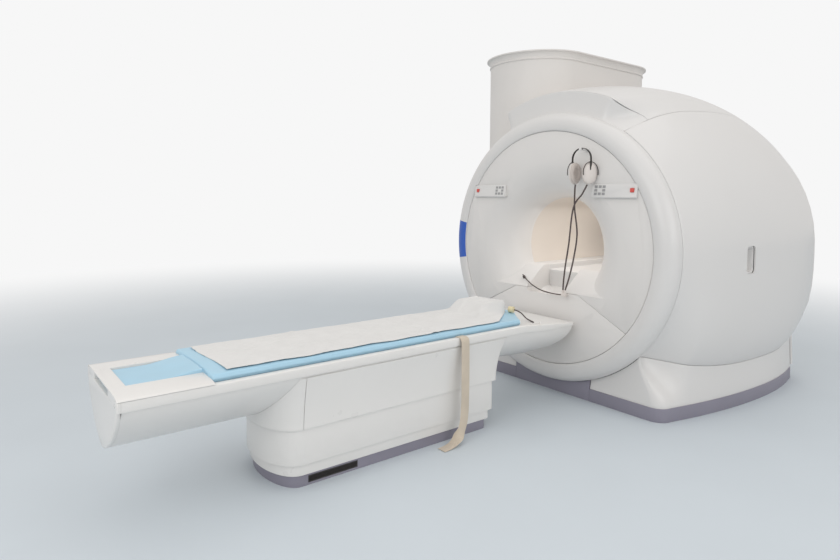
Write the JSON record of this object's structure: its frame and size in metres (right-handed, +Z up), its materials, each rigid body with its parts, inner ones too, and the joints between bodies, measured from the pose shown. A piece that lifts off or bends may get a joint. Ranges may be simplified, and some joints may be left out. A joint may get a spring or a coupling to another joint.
{
  "type": "whole-body magnetic resonance scanner",
  "caption": "Floor-standing magnetic resonance scanner with a round patient bore, service column and a lowered patient table with mattress and headset.",
  "frame": {"origin": "on the floor under the middle of the bore", "axes": "+X along the bore from the table's foot to the magnet, +Y to the side of the service column, +Z up"},
  "size_m": [4.076, 1.8796, 2.158],
  "materials": {
    "cover": "satin moulded cover",
    "trim": "satin moulded trim",
    "plinth": "matt grey plinth",
    "cryostat": "welded vessel, unseen",
    "coil": "cast resin, unseen",
    "steel": "brushed",
    "dark": "dark paint",
    "rubber": "matt hose",
    "key": "membrane keys",
    "stop": "red button",
    "ear": "padded cup",
    "cream": "soft cream bulb",
    "vinyl": "pale blue vinyl",
    "cloth": "white cloth",
    "webbing": "beige webbing"
  },
  "bodies": {
    "magnet": {"front_face_cover": "cover", "lower_front_cover": "cover", "front_ring": "cover", "cowl_band": "trim", "top_cover": "cover", "near_side_cover": "cover", "far_side_cover": "cover", "rear_cover": "cover", "near_skirt": "cover", "far_skirt": "cover", "magnet_plinth": "plinth", "magnet_cryostat": "cryostat", "gradient_coil": "coil", "body_coil": "coil", "bore_liner": "cover", "bore_bridge": "trim", "magnet_feet": "dark", "cold_head": "steel", "quench_pipe": "steel", "service_column": "trim", "column_collar": "trim", "near_panel": "trim", "far_panel": "trim", "key_pads": "key", "side_grips": "trim", "headset_peg": "cover", "headset_band": "dark", "near_ear_cup": "ear", "far_ear_cup": "ear", "near_tube": "rubber", "far_tube": "rubber", "tube_joiner": "ear", "headset_lead": "rubber", "lead_plug": "dark", "table_plinth": "plinth", "vent_grille": "dark", "lower_cover": "cover", "base_frame": "dark", "lift_outer_tubes": "steel"},
    "table_mid": {"mid_cover": "cover", "lift_middle_tubes": "steel"},
    "table_upper": {"upper_cover": "cover", "upper_nose": "cover", "lift_inner_tubes": "steel", "table_beam": "cover", "foot_cap": "cover", "strap": "webbing", "drive_belt": "rubber", "drive_unit": "dark"},
    "tabletop": {"tabletop": "cover", "mattress": "vinyl", "head_cushion": "vinyl", "sheet": "cloth", "foot_frame": "cover", "call_hose": "rubber", "call_bulb": "cream"},
    "drive_pulley": {"drive_pulley": "steel"},
    "idler_pulley": {"idler_pulley": "steel"},
    "near_stop_button": {"near_stop_button": "stop"},
    "far_stop_button": {"far_stop_button": "stop"}
  },
  "joints": [
    {"name": "table_lift", "type": "slide", "parent": "magnet", "child": "table_upper", "axis": [0, 0, 1], "range_m": [0, 0.25]},
    {"name": "mid_cover_lift", "type": "slide", "parent": "magnet", "child": "table_mid", "axis": [0, 0, 1], "range_m": [0, 0.125]},
    {"name": "tabletop_travel", "type": "slide", "parent": "table_upper", "child": "tabletop", "axis": [1, 0, 0], "range_m": [0, 0.24]},
    {"name": "drive_pulley_turn", "type": "hinge", "parent": "table_upper", "child": "drive_pulley", "pos_m": [-1.81, 0, 0.4347], "axis": [0, 1, 0], "range_deg": [0, 460]},
    {"name": "idler_pulley_turn", "type": "hinge", "parent": "table_upper", "child": "idler_pulley", "pos_m": [-3.07, 0, 0.4347], "axis": [0, 1, 0], "range_deg": [0, 460]},
    {"name": "near_stop_press", "type": "slide", "parent": "magnet", "child": "near_stop_button", "axis": [1, 0, 0], "range_m": [0, 0.003], "stiffness_N_per_m": 800},
    {"name": "far_stop_press", "type": "slide", "parent": "magnet", "child": "far_stop_button", "axis": [1, 0, 0], "range_m": [0, 0.003], "stiffness_N_per_m": 800}
  ],
  "couplings": [
    {"joint": "mid_cover_lift", "follows": "table_lift", "ratio": 0.5},
    {"joint": "drive_pulley_turn", "follows": "tabletop_travel", "rad_per_m": 33},
    {"joint": "idler_pulley_turn", "follows": "tabletop_travel", "rad_per_m": 33}
  ]
}
